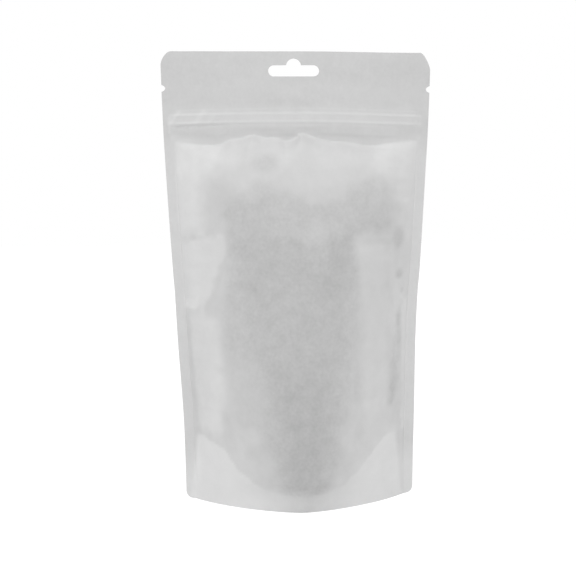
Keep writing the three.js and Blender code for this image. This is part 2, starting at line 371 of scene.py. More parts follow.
def skirt_pinch(u, v):
    """The skirt is pinched in along the middle of its seal, and flares to the floor."""
    return SKIRT_PINCH * mound(u, SKIRT_PINCH_ACROSS) * mound(v - BOTTOM_SEAL, SKIRT_PINCH_UP)


print("hollows in front and behind:", len(FRONT_HOLLOWS), len(BACK_HOLLOWS))

# %% Zip relief
RIDGE_SPACING = 4.6
RIDGE_HEIGHT = 0.35
RIDGE_HALF_WIDTH = 1.7
VALLEY_SHARE = 0.55
TAPE_THICKNESS = 0.2
TAPE_FOOT_SLOPE = 2.4
TAPE_TOP_SLOPE = 1.4
TAPE_END_SLOPE = 3.0


def zip_relief(u, v):
    """A flat tape with two soft ridges, crushed flat where the side seals cross it."""
    level = v - ZIP_MIDDLE
    foot, top = (level + TAPE_BELOW) / TAPE_FOOT_SLOPE, (TAPE_ABOVE - level) / TAPE_TOP_SLOPE
    tape = ease(foot) * ease(top)
    to_ridge = abs(abs(level) - RIDGE_SPACING / 2) / RIDGE_HALF_WIDTH
    ridge = np.cos(np.clip(to_ridge, 0, 1) * math.pi / 2) ** 2
    valley = VALLEY_SHARE * (abs(level) < RIDGE_SPACING / 2)
    inside = ease((HALF_FREE - abs(u)) / TAPE_END_SLOPE)
    return inside * tape * (TAPE_THICKNESS + RIDGE_HEIGHT * np.maximum(ridge, valley))


print("relief on a ridge:", round(float(zip_relief(0.0, ZIP_MIDDLE + RIDGE_SPACING / 2)), 2))

# %% Crimps at the left end of the zip
ZIP_CRIMPS = [
    # from across and up, to across and up, half width, height
    ((-76.0, 227.5), (-70.5, 234.0), 1.1, 0.38),
    ((-76.6, 222.5), (-76.4, 231.0), 0.8, 0.28),
    ((-60.0, 228.0), (-55.5, 234.0), 1.6, 0.30),
    ((-52.0, 228.5), (-49.5, 231.5), 1.2, 0.22),
    ((-66.0, 225.8), (-40.0, 226.2), 0.9, -0.20),
    ((-74.0, 225.6), (-66.0, 225.8), 0.9, -0.26),
    ((-70.0, 221.5), (-52.0, 220.5), 1.4, -0.14),
]


def line_ridge(u, v, ridge):
    """A low ridge along a short line; a height under nothing makes a groove."""
    (a_u, a_v), (b_u, b_v), half_width, height = ridge
    side_u, side_v = b_u - a_u, b_v - a_v
    along = np.clip(((u - a_u) * side_u + (v - a_v) * side_v) / (side_u**2 + side_v**2), 0, 1)
    away = np.hypot(u - a_u - along * side_u, v - a_v - along * side_v)
    return height * hump(away, half_width)


print("crimps:", len(ZIP_CRIMPS))

# %% Where a spot of a panel stands
FOOT_ROUNDNESS = 1.5
BODY_ROUNDNESS = 2.0
SHOULDER_ROUNDNESS = 3.4
FULL_SINK_ARCH = 8.0


def plain_arch(v, share):
    """The swell of a panel with no hollows: an arc that is blunter under the tape."""
    above_waist = ease((v - WAIST) / (TAPE_FOOT - WAIST))
    roundness = FOOT_ROUNDNESS + (BODY_ROUNDNESS - FOOT_ROUNDNESS) * ease(v / BELLY)
    roundness = roundness + (SHOULDER_ROUNDNESS - BODY_ROUNDNESS) * above_waist
    return np.where(v < TAPE_FOOT, half_depth(v) * (1 - share**roundness), 0)


def panel_points(u, v, side, hollows, extra=None):
    """Places in millimetres for arrays of u and v on the front (side -1) or back (side 1)."""
    drawn = draw_in(v)
    angle = bend_angle(drawn)
    share = np.clip(abs(u) / HALF_FREE, 0, 1)
    fin = np.clip(abs(u) - HALF_FREE, 0, None)
    reach = (HALF_FREE - drawn) * np.sin(angle * share) / np.sin(angle) + fin
    x = np.sign(u) * reach + side_lean(v)
    arch = plain_arch(v, share)
    sink = skirt_pinch(u, v) + sum(hollow_sink(u, v, h) for h in hollows)
    if extra is not None:
        sink = sink + extra(u, v)
    swell = np.clip(arch - sink * np.clip(arch / FULL_SINK_ARCH, 0, 1), 0, None)
    spread = (share * HALF_FREE + fin) / HALF
    bow = bow_forward(v) * (1 - spread**2)
    tuck = FOOT_TUCK * share**2 * (1 - fin / SIDE_SEAL) * (1 - ease(v / GUSSET_RISE))
    y = side * (PLY + swell + zip_relief(u, v)) - bow - tuck
    z = v + zip_lift(v) * (1 - spread**2) - droop(u, v)
    return np.stack([x, y, z], axis=-1)


probe = panel_points(np.array([0.0]), np.array([BELLY]), -1, FRONT_HOLLOWS)[0]
print("front of the belly stands at:", np.round(probe, 2))

# %% Flat facets with sharp sides
FRONT_FACETS = [
    # corners across and up, how flat, softness of the sides
    ([(-76, 162), (-43, 160), (-54, 124), (-76, 119)], 0.4, 3.0),
    ([(28, 157), (58, 158), (66, 112), (60, 44), (36, 66), (30, 112)], 0.3, 5.0),
]
BACK_FACETS = [
    ([(72, 208), (44, 166), (50, 132), (72, 124)], 0.5, 3.0),
    ([(-30, 152), (-60, 158), (-66, 106), (-58, 48), (-38, 70)], 0.5, 3.0),
]


def polygon_depth(u, v, corners):
    """How far inside a convex polygon each spot lies; outside it is negative."""
    middle = np.mean(corners, axis=0)
    inside = np.full(np.shape(u), 1e9)
    for (a_u, a_v), (b_u, b_v) in zip(corners, corners[1:] + corners[:1]):
        across, up = b_u - a_u, b_v - a_v
        length = math.hypot(across, up)
        sign = 1 if across * (middle[1] - a_v) - up * (middle[0] - a_u) > 0 else -1
        inside = np.minimum(inside, sign * (across * (v - a_v) - up * (u - a_u)) / length)
    return inside


def facet_sink(u, v, facet):
    """Presses the arch towards the flat plane through the facet's corners."""
    corners, flatness, softness = facet
    points = np.array(corners, float)
    heights = plain_arch(points[:, 1], np.clip(abs(points[:, 0]) / HALF_FREE, 0, 1))
    design = np.column_stack([points, np.ones(len(points))])
    slope_u, slope_v, base = np.linalg.lstsq(design, heights, rcond=None)[0]
    proud = plain_arch(v, np.clip(abs(u) / HALF_FREE, 0, 1)) - (slope_u * u + slope_v * v + base)
    inside = soft_side(polygon_depth(u, v, corners), softness)
    return flatness * inside * np.clip(proud, 0, None)


print("facets:", len(FRONT_FACETS) + len(BACK_FACETS))

# %% Puckers under the tape
TAPE_PUCKERS = [
    # across at the tape, lean, length down, half width, height
    (-26.0, -0.25, 26.0, 6.0, 1.9),
    (3.5, -0.45, 30.0, 6.5, 2.1),
    (-52.0, 0.3, 20.0, 8.0, 0.4),
    (34.0, 0.4, 24.0, 8.0, 1.0),
    (58.0, -0.2, 20.0, 7.0, 0.8),
]
TAPE_WAVE = [
    # share of the way to the seam, how much higher or lower the tape's edge lies
    (-1, 0), (-0.86, -2.4), (-0.67, -4), (-0.6, -3), (-0.53, -0.6), (-0.45, -0.2), (-0.35, 1.9),
    (-0.27, 0.2), (-0.16, 0), (-0.085, -2.1), (-0.015, -0.1), (0.035, 2.6), (0.1, 1.0),
    (0.18, -1.0), (0.27, -2.1), (0.4, -2.6), (0.57, -4.5), (0.68, -3.4), (0.81, -1.5), (1, 0),
]
tape_line = curve_through([(share * HALF_FREE, rise) for share, rise in TAPE_WAVE])
PUCKER_START = 3.0
PUCKER_RISE = 6.0
PUCKER_NECK = 0.35


def tape_pucker(u, v, pucker):
    """A short ridge that starts at the tape and dies out down the panel."""
    at_u, lean, length, half_width, height = pucker
    down = TAPE_FOOT + PUCKER_START - v
    widened = PUCKER_NECK + (1 - PUCKER_NECK) * np.clip(down / length, 0, 1)
    fade = ease(down / PUCKER_RISE) * ease(1 - down / length)
    return height * fade * hump(u - at_u - lean * down, half_width * widened)


print("tape puckers:", len(TAPE_PUCKERS))

# %% Puckers along the seams
SEAM_PUCKER_PITCH = 11.0
SEAM_PUCKER_LENGTH = 13.0
SEAM_PUCKER_HEIGHT = 0.42
SEAM_PUCKER_START = 2.5
SEAM_PUCKER_FADE = 20.0


def seam_puckers(u, v, side):
    """Small wrinkles that run in from each side seam, uneven in pitch and strength."""
    # Two slow waves up the seam shift the pitch and the strength, in another place on each seam.
    hand = np.sign(u) + 0.5 * side
    phase = v / SEAM_PUCKER_PITCH + 0.8 * np.sin(v / 17.0 + 2.1 * hand) + hand
    strength = 0.55 + 0.45 * np.sin(v / 29.0 + 1.3 * hand)
    inward = HALF_FREE - abs(u)
    reach = ease(inward / SEAM_PUCKER_START)
    reach = reach * np.exp(-np.clip(inward, 0, None) / SEAM_PUCKER_LENGTH)
    body = ease((v - GUSSET_RISE) / SEAM_PUCKER_FADE)
    body = body * ease((TAPE_FOOT - 4 - v) / SEAM_PUCKER_FADE)
    return SEAM_PUCKER_HEIGHT * strength * reach * body * np.sin(2 * math.pi * phase) ** 3


print("pitch of the seam puckers:", SEAM_PUCKER_PITCH)

# %% Cockling of the paper
COCKLE_WAVES = [
    # height, size, seed
    (0.42, 34.0, 3.1),
    (0.16, 11.0, 7.7),
    (0.05, 4.0, 1.9),
]
SLOW_OUTSIDE = 0.25
MIDDLE_OUTSIDE = 0.15
COCKLE_EDGE = 10.0
COCKLE_SEAL_FADE = 8.0


def noise_field(u, v, size, seed):
    """Smooth noise from -1 to 1, with features of this size in millimetres."""
    return np.array([noise.noise(Vector((a / size, b / size, seed))) for a, b in zip(u, v)])


def cockle(u, v, side):
    """The slow waves and small dents that handled paper keeps; the seals and header keep less."""
    slow, middle, small = (
        height * noise_field(u, v, size, seed * side) for height, size, seed in COCKLE_WAVES
    )
    body = ease((TAPE_FOOT - v) / COCKLE_EDGE) * ease((v - seal_line(u)) / COCKLE_SEAL_FADE)
    edge = ease((HALF - abs(u)) / COCKLE_EDGE)
    slow_share = SLOW_OUTSIDE + (1 - SLOW_OUTSIDE) * body
    middle_share = MIDDLE_OUTSIDE + (1 - MIDDLE_OUTSIDE) * body
    return edge * (slow_share * slow + middle_share * middle + body * small)


print("heights of the cockling:", [height for height, _, _ in COCKLE_WAVES])

# %% [markdown]
# ## The paper panels
#
# Each panel begins as a flat grid of the pouch's own size, as the web comes off its roll. Its rows
# lie closer at the zip and the tear notches, its corners are rounded on the flat, and only then
# is it bent to the filled shape, so that seams, zip and corners stay where they were cut.

# %% Round the corners and cut the notches on the flat
CORNERS = [
    # side, up or down, height of the corner, reach across, reach up, fullness (2 is round)
    (-1, 1, HEIGHT, 5.9, 7.9, 1.6),
    (1, 1, HEIGHT, 5.8, 10.0, 1.33),
    (-1, -1, 0.0, 4.0, 4.0, 2.0),
    (1, -1, 0.0, 4.0, 4.0, 2.0),
]
NOTCH_DROP = 21.4
NOTCH_DEPTH = 2.2
NOTCH_HALF_HEIGHT = 2.0
NOTCH_FULLNESS = 0.8


def round_corner(u, v, corner):
    """Draws the spots of a square corner in onto a round one."""
    side, up, corner_v, reach_u, reach_v, fullness = corner
    across = (side * u - (HALF - reach_u)) / reach_u
    rise = (up * (v - corner_v) + reach_v) / reach_v
    inside = (across > 0) & (rise > 0)
    across, rise = np.where(inside, across, 0), np.where(inside, rise, 0)
    reach = (across**fullness + rise**fullness) ** (1 / fullness)
    pull = np.maximum(across, rise) / np.where(inside, reach, 1)
    new_u = np.where(inside, side * (HALF - reach_u * (1 - across * pull)), u)
    new_v = np.where(inside, corner_v - up * reach_v * (1 - rise * pull), v)
    return new_u, new_v


def cut_notches(u, v):
    """Draws the outer edge in at the tear notches, and what lies beside it with it."""
    bite = NOTCH_DEPTH * mound(v - (HEIGHT - NOTCH_DROP), NOTCH_HALF_HEIGHT) ** NOTCH_FULLNESS
    share = np.clip((abs(u) - HALF_FREE) / SIDE_SEAL, 0, 1)
    return u - np.sign(u) * bite * share, v


def flat_outline(u, v):
    """The cut outline of the flat pouch."""
    for corner in CORNERS:
        u, v = round_corner(u, v, corner)
    return cut_notches(u, v)


print("notches at height:", HEIGHT - NOTCH_DROP)

# %% Rows and columns of a panel
COLUMNS = 124
ROW_BANDS = [
    # start of the band, spacing of its rows
    (0.0, 1.35),
    (TAPE_FOOT - 6, 0.55),
    (TAPE_TOP + 1, 1.2),
    (HEIGHT - 25, 0.4),
    (HEIGHT - 19, 1.1),
]


def row_heights():
    """Heights of the grid's rows: each band has its own spacing."""
    ends = [start for start, _ in ROW_BANDS[1:]] + [HEIGHT]
    rows = []
    for (start, spacing), end in zip(ROW_BANDS, ends):
        count = max(1, round((end - start) / spacing))
        rows.extend(np.linspace(start, end, count, endpoint=False))
    return np.array([*rows, HEIGHT])


ROWS = row_heights()
FIN_COLUMNS = 5
COLUMN_STOPS = [0, FIN_COLUMNS, COLUMNS - FIN_COLUMNS, COLUMNS]
COLUMN_PLACES = [-HALF, -HALF_FREE, HALF_FREE, HALF]
print("rows:", len(ROWS), "columns:", COLUMNS + 1)

# %% What each panel sinks by
def front_extra(u, v):
    """Everything that the front panel sinks, apart from its soft hollows."""
    ridges = sum(tape_pucker(u, v, p) for p in TAPE_PUCKERS)
    return sum(facet_sink(u, v, f) for f in FRONT_FACETS) - ridges - seam_puckers(u, v, -1)


def back_extra(u, v):
    """The same for the back, with its own facets and its puckers in other places."""
    ridges = sum(tape_pucker(-u, v, p) for p in TAPE_PUCKERS)
    return sum(facet_sink(u, v, f) for f in BACK_FACETS) - ridges - seam_puckers(u, v, 1)


WARP_REACH = 24.0
WARP_TOP = ZIP_MIDDLE - 4.0
WARP_FADE = 6.0


def warp_under_tape(u, v, side):
    """The swell begins a little higher or lower along the tape's loose lower edge."""
    fade = ease((v - TAPE_FOOT + WARP_REACH) / WARP_REACH) * ease((WARP_TOP - v) / WARP_FADE)
    return v - tape_line(-side * u) * fade


tape_rises = [rise for _, rise in TAPE_WAVE]
print("lowest and highest of the tape's edge:", min(tape_rises), max(tape_rises))

# %% Make the two panels
def grid_piece(name, columns, rows):
    """A flat grid two units wide, from the bottom row up, and its spots as (across, up) shares."""
    bpy.ops.object.select_all(action="DESELECT")
    bpy.ops.mesh.primitive_grid_add(x_subdivisions=columns, y_subdivisions=rows, size=2)
    piece = bpy.context.object
    piece.name = name
    flat = np.array([v.co[:2] for v in piece.data.vertices])
    return piece, flat


def set_places(piece, places):
    """Moves a mesh's vertices to places in millimetres."""
    piece.data.vertices.foreach_set("co", (places * MM).astype(np.float32).ravel())
    piece.data.update()


def make_panel(name, side):
    """One panel: a flat grid, cut to its outline and bent to the filled shape."""
    piece, flat = grid_piece(name, COLUMNS, len(ROWS) - 1)
    u = np.interp((flat[:, 0] + 1) / 2 * COLUMNS, COLUMN_STOPS, COLUMN_PLACES)
    v = np.interp((flat[:, 1] + 1) / 2, np.linspace(0, 1, len(ROWS)), ROWS)
    u, v = flat_outline(u, v)
    hollows = FRONT_HOLLOWS if side < 0 else BACK_HOLLOWS
    extra = front_extra if side < 0 else back_extra
    warped = warp_under_tape(u, v, side)
    shaped = panel_points(u, warped, side, hollows, extra)
    shaped[:, 1] += side * (zip_relief(u, v) - zip_relief(u, warped))
    shaped[:, 1] += side * cockle(u, v, side)
    shaped[:, 2] += v - warped
    if side < 0:
        shaped[:, 1] -= sum(line_ridge(u, v, ridge) for ridge in ZIP_CRIMPS)
    set_places(piece, shaped)
    return piece


front_panel = make_panel("front_panel", -1)
back_panel = make_panel("back_panel", 1)
print("spots in a panel:", len(front_panel.data.vertices))

# %% [markdown]
# ## One closed pack
#
# The two panels are joined and bridged round their cut edges, which leaves a closed skin with a
# cut edge two plies thick. The room under the gusset is then taken out of it with a cutter that is
# itself a folded grid: up the front skirt, over the sagging web and down the back skirt. The hang
# slot is cut by a round-ended bar and a dome. Cuts leave slivers, which are merged away at the end.

# %% Bridge the panels
def activate(pieces):
    """Selects these pieces only and makes the first one active."""
    bpy.ops.object.select_all(action="DESELECT")
    for piece in pieces:
        piece.select_set(True)
    bpy.context.view_layer.objects.active = pieces[0]


def select_open_edges():
    """In edit mode, selects the edges that only one face uses."""
    bpy.ops.mesh.select_all(action="DESELECT")
    bpy.ops.mesh.select_non_manifold(
        use_wire=False, use_multi_face=False, use_non_contiguous=False, use_verts=False
    )


def turn_faces_out():
    """Turns every face of the piece in edit mode outwards, and leaves edit mode."""
    bpy.ops.mesh.select_all(action="SELECT")
    bpy.ops.mesh.normals_make_consistent(inside=False)
    bpy.ops.object.mode_set(mode="OBJECT")


activate([front_panel, back_panel])
bpy.ops.object.join()
pouch = bpy.context.object
pouch.name = "kraft_pouch"
bpy.ops.object.mode_set(mode="EDIT")
select_open_edges()
bpy.ops.mesh.bridge_edge_loops()
turn_faces_out()
print("closed pack:", len(pouch.data.polygons), "faces")

# %% Fold the gusset's cutter
GUSSET_SAG = 11.5
GUSSET_SAG_REACH = 46.0
GUSSET_COLUMNS = 110
WALL_ROWS = 8
WEB_ROWS = 20
CUTTER_END = HALF_FREE - 0.6
END_WIDTH = 0.01
BELOW_FLOOR = 5.0
SAME_SPOT = 1e-7


def make_gusset_cutter():
    """The room under the gusset: a grid folded up, over and down again, closed below."""
    ring = 2 * WALL_ROWS + WEB_ROWS + 2
    piece, flat = grid_piece("gusset_room", GUSSET_COLUMNS, ring)
    u = flat[:, 0] * CUTTER_END
    step = np.round((flat[:, 1] + 1) / 2 * ring).astype(int)
    from_back = step > ring / 2
    down = np.where(from_back, ring - step, step)
    v = seal_line(u) * np.clip(down - 1, 0, WALL_ROWS) / WALL_ROWS
    front = panel_points(u, v, -1, FRONT_HOLLOWS)
    back = panel_points(u, v, 1, BACK_HOLLOWS)
    front[:, 1] += 2 * PLY
    back[:, 1] -= 2 * PLY
    middle = (front + back) / 2
    at_end = (abs(u) > CUTTER_END - END_WIDTH)[:, None]
    front, back = np.where(at_end, middle, front), np.where(at_end, middle, back)
    across = np.clip((step - 1 - WALL_ROWS) / WEB_ROWS, 0, 1)
    places = front + (back - front) * across[:, None]
    places[:, 2] -= GUSSET_SAG * mound(u, GUSSET_SAG_REACH) * (1 - (2 * across - 1) ** 2)
    places[down == 0, 2] = -BELOW_FLOOR
    set_places(piece, places)
    bpy.ops.object.mode_set(mode="EDIT")
    bpy.ops.mesh.select_all(action="SELECT")
    bpy.ops.mesh.remove_doubles(threshold=SAME_SPOT)
    select_open_edges()
    bpy.ops.mesh.edge_face_add()
    turn_faces_out()
    return piece


gusset_room = make_gusset_cutter()
print("gusset room:", len(gusset_room.data.polygons), "faces")

# %% Make the hang slot's cutters
SLOT_LENGTH = 30.0
SLOT_BAR = 6.6
SLOT_DROP = 11.8
SLOT_OFFSET = -1.8
SLOT_DOME_RADIUS = 4.4
SLOT_DOME_RISE = 3.9
SLOT_CUTTER_DEPTH = 20.0
DOME_CUTTER_DEPTH = 20.4
NEARLY_ROUND = 0.999
BEVEL_STEPS = 10
DOME_SIDES = 40


def make_slot_cutters():
    """A bar that is round at all its edges, and a dome for the middle of its upper side."""
    level = HEIGHT - SLOT_DROP
    bpy.ops.object.select_all(action="DESELECT")
    bpy.ops.mesh.primitive_cube_add(size=1, location=(SLOT_OFFSET * MM, 0, level * MM))
    bar = bpy.context.object
    bar.name = "slot_bar"
    bar.scale = (SLOT_LENGTH * MM, SLOT_CUTTER_DEPTH * MM, SLOT_BAR * MM)
    bpy.ops.object.transform_apply(location=True, rotation=False, scale=True)
    bpy.ops.object.mode_set(mode="EDIT")
    bpy.ops.mesh.select_all(action="SELECT")
    bpy.ops.mesh.bevel(offset=SLOT_BAR / 2 * MM * NEARLY_ROUND, segments=BEVEL_STEPS)
    bpy.ops.object.mode_set(mode="OBJECT")
    bpy.ops.object.select_all(action="DESELECT")
    dome_centre = level + SLOT_BAR / 2 + SLOT_DOME_RISE - SLOT_DOME_RADIUS
    bpy.ops.mesh.primitive_cylinder_add(
        vertices=DOME_SIDES,
        radius=SLOT_DOME_RADIUS * MM,
        depth=DOME_CUTTER_DEPTH * MM,
        location=(SLOT_OFFSET * MM, 0, dome_centre * MM),
        rotation=(math.pi / 2, 0, 0),
    )
    dome = bpy.context.object
    dome.name = "slot_dome"
    return bar, dome


slot_bar, slot_dome = make_slot_cutters()
print("faces of the bar and the dome:", len(slot_bar.data.polygons), len(slot_dome.data.polygons))

# %% Cut the pack
SLIVER = 2e-6
SMOOTH_ANGLE = math.radians(35)


def cut(body, tool):
    """Takes a tool out of a body with an exact boolean and removes the tool."""
    activate([body])
    modifier = body.modifiers.new("cut", "BOOLEAN")
    modifier.operation = "DIFFERENCE"
    modifier.solver = "EXACT"
    modifier.object = tool
    bpy.ops.object.modifier_apply(modifier=modifier.name)
    bpy.data.objects.remove(tool)


for tool in (gusset_room, slot_bar, slot_dome):
    cut(pouch, tool)
activate([pouch])
bpy.ops.object.mode_set(mode="EDIT")
bpy.ops.mesh.select_all(action="SELECT")
bpy.ops.mesh.remove_doubles(threshold=SLIVER)
bpy.ops.mesh.dissolve_degenerate(threshold=SLIVER)
turn_faces_out()
bpy.ops.object.shade_smooth_by_angle(angle=SMOOTH_ANGLE)
print("cut pack:", len(pouch.data.polygons), "faces")

# %% [markdown]
# ## Where the filling shows through, and painted light and shade
#
# White kraft paper is a little see-through. Where the filling lies against it the paper looks
# darker, and where there is air behind it, or two plies sealed together, it looks lighter. The
# same shade also carries painted light and shade: lighter seams, shoulders, seal rim, fold lips
# and tape edge where shade falls, painted highlights and shade on the zip's ridges and crimps,
# and painted shadows beside a pucker and above the zip. A texture painted by hand could show
# that, but areas and spots that are placed on the flat panel can be read and changed. The cut
# mesh has lost its flat places, so they are worked out again.

# %% Where each spot of the mesh lies flat
spots = np.empty(len(pouch.data.vertices) * 3, np.float32)
pouch.data.vertices.foreach_get("co", spots)
spots = spots.reshape(-1, 3).astype(float) / MM
spot_v = np.clip(spots[:, 2], 0, HEIGHT)
spot_drawn = draw_in(spot_v)
spot_angle = bend_angle(spot_drawn)
spot_x = spots[:, 0] - side_lean(spot_v)
spot_v = np.clip(spot_v + droop(spot_x, spot_v), 0, HEIGHT)
spot_sine = abs(spot_x) * np.sin(spot_angle) / (HALF_FREE - spot_drawn)
spot_fin = np.clip(abs(spot_x) - (HALF_FREE - spot_drawn), 0, None)
spot_sine = np.clip(spot_sine, 0, np.sin(np.minimum(spot_angle, math.pi / 2)))
spot_u = np.sign(spot_x) * (np.arcsin(spot_sine) / spot_angle * HALF_FREE + spot_fin)
print("flat places reach", round(float(abs(spot_u).max()), 1), "mm to the side")

# %% Areas of the front panel
FRONT_AREAS = [
    # name, corners across and up, softness of the sides, how much darker
    ("filling against the paper",
     [(-42, 180), (-34, 188), (-24, 192), (-15, 190), (-3, 184), (9, 180), (26, 183), (32, 190),
      (44, 194), (53, 190), (58, 176), (56, 166), (32, 163), (34, 139), (35, 112), (31, 71),
      (25, 41), (20, 20), (13, 9), (-2, 8), (-16, 12), (-26, 20), (-34, 34), (-38, 52), (-44, 71),
      (-46, 113), (-42, 140), (-41, 161), (-44, 176)], 4.5, 0.36),
    ("heap under the shoulders",
     [(-46, 170), (-38, 180), (-26, 188), (-14, 186), (-3, 180), (26, 182), (40, 194), (50, 188),
      (52, 168), (30, 160), (-42, 158)], 12.0, 0.10),
    ("lower column", [(-34, 158), (30, 158), (26, 24), (0, 6), (-20, 18), (-34, 60)], 10.0, 0.09),
    ("pressed core",
     [(-38, 161), (30, 161), (28, 136), (26, 113), (22, 72), (13, 8), (-11, 8), (-14, 56),
      (-22, 90), (-33, 125)], 9.0, 0.27),
    ("heavy foot", [(-12, 78), (12, 80), (13, 10), (-10, 10)], 9.0, 0.17),
    ("right air strip",
     [(33, 156), (52, 156), (58, 110), (56, 60), (36, 60), (34, 110)], 4.0, -0.26),
    ("right foot", [(32, 62), (64, 62), (68, 42), (52, 26), (32, 16), (28, 30)], 6.0, -0.27),
    ("soft side of the filling",
     [(33, 144), (37, 144), (40, 110), (38, 40), (32, 40)], 3.0, 0.22),
    ("light line beside it", [(19, 86), (27, 86), (28, 38), (20, 36)], 4.0, -0.16),
    # Painted light by the right seam, where the panel turns away from the light.
    ("painted light on the right seam strip",
     [(56, 174), (80, 176), (80, 40), (68, 40), (60, 110), (56, 150)], 5.0, -0.24),
    # Painted light on the steep wall beside the right seam, which faces away from the light.
    ("painted light on the right seam wall", [(68, 124), (80, 124), (80, 36), (69, 36), (71, 80)], 2.5, -0.34),
    ("left foot", [(-48, 89), (-24, 88), (-22, 16), (-35, 24), (-56, 38), (-62, 52)], 8.0, -0.24),
    # Lighter left shoulder: air behind the paper, and painted light where the panel turns away from
    # the light.
    ("left shoulder pocket and painted light",
     [(-80, 219), (-46, 218), (-50, 198), (-57, 190), (-58, 168), (-80, 158)], 6.0, -0.45),
    # Painted light by the left seam, where the panel turns away from the light.
    ("painted light by the left seam", [(-80, 206), (-60, 206), (-54, 190), (-56, 160), (-80, 158)], 5.0, -0.30),
    ("left air pocket",
     [(-80, 159), (-44, 163), (-43, 151), (-49, 141), (-54, 129), (-60, 119), (-80, 119)],
     2.0, -0.50),
    # Painted highlight along the lip of the fold at the left pocket's foot.
    ("painted highlight on the left pocket's lip", [(-75, 124), (-63, 126), (-63, 121), (-75, 119)], 1.4, -0.24),
    ("left air strip",
     [(-74, 117), (-50, 115), (-48, 71), (-50, 48), (-56, 42), (-72, 46)], 5.0, -0.52),
    ("right streak",
     [(67, 117), (62.6, 98), (61.2, 84), (60, 72), (57.4, 59), (60.6, 57), (66, 72), (68, 84),
      (68.6, 98)], 2.8, 0.50),
    ("foot of the right streak", [(57, 70), (57, 47), (62, 46), (65, 70)], 4.0, 0.12),
    ("upper right seam", [(69, 164), (75, 164), (76, 122), (69, 122)], 2.0, -0.15),
    ("left seam line", [(-74, 112), (-71, 43), (-68, 43), (-71, 112)], 2.0, 0.30),
    # Lighter right shoulder: air behind the paper, and painted light where the panel turns away
    # from the light.
    ("right shoulder pocket and painted light", [(44, 204), (50, 218), (80, 220), (78, 176), (64, 176), (53, 195)],
     4.0, -0.36),
    # Lighter right seam pocket: air behind the paper, and painted light where the panel turns away
    # from the light.
    ("right seam pocket and painted light", [(62, 208), (80, 214), (80, 164), (66, 158), (60, 180)], 4.0, -0.26),
    # Painted highlight along the top edge of the right facet, which leans up to the light.
    ("painted highlight on the right facet's lip", [(33, 161), (57, 162), (55, 154), (37, 151)], 1.8, -0.10),
    # Lighter band under the tape: air behind the paper, and painted light on the swell's top, which
    # leans up to the light.
    ("band under the tape, air and painted light",
     [(-60, 219), (60, 219), (52, 200), (28, 190), (0, 188), (-20, 202), (-50, 206)], 5.0, -0.14),
]
print("front areas:", len(FRONT_AREAS))

# %% Spots of the front panel
FRONT_SPOTS = [
    # across, up, radius across, radius up, how much darker
    (62.8, 160, 5.0, 6.8, 0.62),
    (62, 149, 2.6, 9.0, 0.20),
    (64.6, 138, 3.3, 3.2, 0.68),
    (68, 128, 1.6, 1.6, 0.35),
    (67, 182, 2.6, 2.0, -0.2),
    # A darker patch: painted shadow on the right side of the tape pucker at -26.
    (-19, 204, 8.0, 6.0, 0.42),
    (4, 214, 5.0, 6.0, 0.10),
    (-10, 45, 8.0, 5.0, -0.10),
    (-30, 45, 7.0, 6.0, -0.24),
    (-36, 30, 9.0, 9.0, -0.12),
    (-30, 190, 12.0, 9.0, -0.14),
    (10, 160, 8.0, 12.0, -0.24),
    (52, 180, 10.0, 12.0, -0.18),
    (34, 142, 5.0, 9.0, 0.08),
    (66.5, 112, 2.6, 6.0, 0.28),
    (-17, 22, 8.0, 14.0, -0.20),
    (-48, 170, 8.0, 8.0, -0.16),
    (-45, 49, 7.0, 9.0, 0.20),
    (68, 96, 2.4, 8.0, 0.22),
    (-70, 203, 5.0, 9.0, -0.20),
    (22, 134, 10.0, 12.0, 0.12),
    (18, 20, 8.0, 10.0, -0.16),
    (-46, 58, 5.0, 7.0, 0.12),
    (-28, 40, 11.0, 5.0, -0.12),
    (26, 153, 7.0, 9.0, 0.13),
    (-44, 202, 11.0, 10.0, -0.24),
    (-23, 28, 9.0, 9.0, -0.22),
    (25, 38, 7.0, 12.0, -0.12),
]
print("front spots:", len(FRONT_SPOTS))

# %% Areas and spots of the back panel
BACK_AREAS = [
    ("filling against the paper",
     [(-50, 184), (-30, 196), (0, 188), (24, 198), (46, 190), (52, 168), (45, 130), (44, 80),
      (34, 40), (20, 14), (-18, 13), (-34, 34), (-45, 70), (-50, 120)], 6.0, 0.46),
    ("pressed core",
     [(-30, 160), (20, 168), (26, 110), (18, 60), (12, 10), (-12, 10), (-20, 50), (-32, 100)],
     10.0, 0.27),
    ("heavy foot", [(-14, 74), (14, 80), (14, 10), (-12, 10)], 9.0, 0.16),
    ("air strip on one side",
     [(-74, 152), (-56, 160), (-58, 110), (-54, 48), (-72, 48)], 5.0, -0.40),
    ("air strip on the other",
     [(74, 150), (58, 160), (54, 100), (56, 46), (72, 48)], 5.0, -0.40),
    # Lighter band under the tape: air behind the paper, and painted light on the swell's top.
    ("band under the tape, air and painted light",
     [(-70, 218), (70, 218), (66, 172), (52, 200), (20, 196), (-20, 200), (-54, 194), (-68, 164)],
     5.0, -0.30),
]
BACK_SPOTS = [
    (-30, 205, 8.0, 6.0, 0.26),
    (40, 204, 6.0, 5.0, 0.20),
    (-60, 128, 3.0, 4.0, 0.30),
]
print("back areas and spots:", len(BACK_AREAS), len(BACK_SPOTS))

# %% Shade of a panel's free part
WANDER = 2.2
WANDER_WAVES = [
    # size, seed
    (9.0, 21.0),
    (4.5, 22.0),
]
SPOT_FADE = 1.35
# Painted light just above the U seal, against the shade where the panel turns down to it.
SEAL_RIM_PAINTED_LIGHT = -0.16
SEAL_RIM_REACH = 7.0


